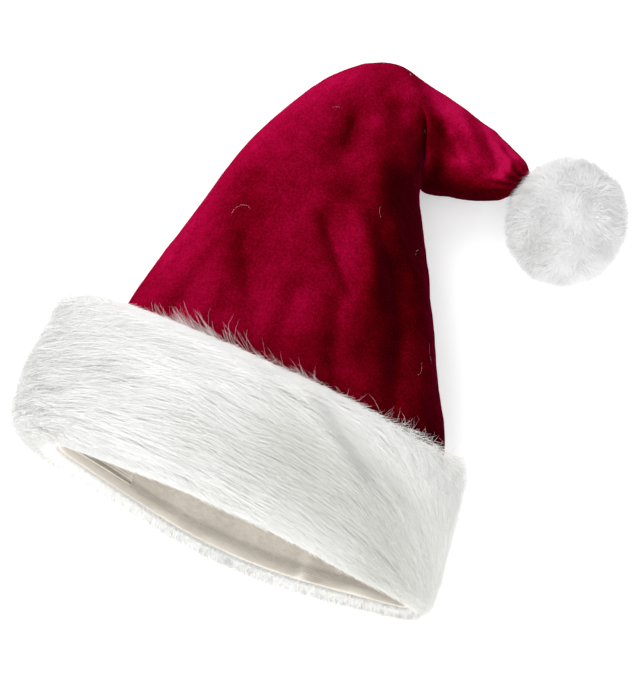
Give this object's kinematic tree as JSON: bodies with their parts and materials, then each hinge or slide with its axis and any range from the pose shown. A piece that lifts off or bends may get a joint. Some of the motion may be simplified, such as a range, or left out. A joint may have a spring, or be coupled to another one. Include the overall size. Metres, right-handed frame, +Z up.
{
  "type": "santa hat",
  "caption": "Soft velvet cone hat with a bent tip, a deep white fur band, a fur pompom and an open lined head hollow, lying on its back.",
  "frame": {"origin": "on the surface that the hat lies on, under the middle of the fur band", "axes": "+Z up from that surface; +Y from the mouth towards the crown's bend; +X towards the side that the tip and pompom lie on"},
  "size_m": [0.328, 0.3734, 0.1398],
  "materials": {
    "velvet": "short crimson velvet pile with a pink sheen",
    "lining_cotton": "plain-woven cream cotton",
    "elastic_webbing": "cotton casing stitched over rubber cords",
    "white_fur": "long silky faux fur",
    "white_plush": "short dense faux fur"
  },
  "bodies": {
    "root": {"crown": "velvet", "lining": "lining_cotton", "elastic_band": "elastic_webbing", "fur_band": "white_fur", "pompom": "white_plush"}
  },
  "joints": []
}
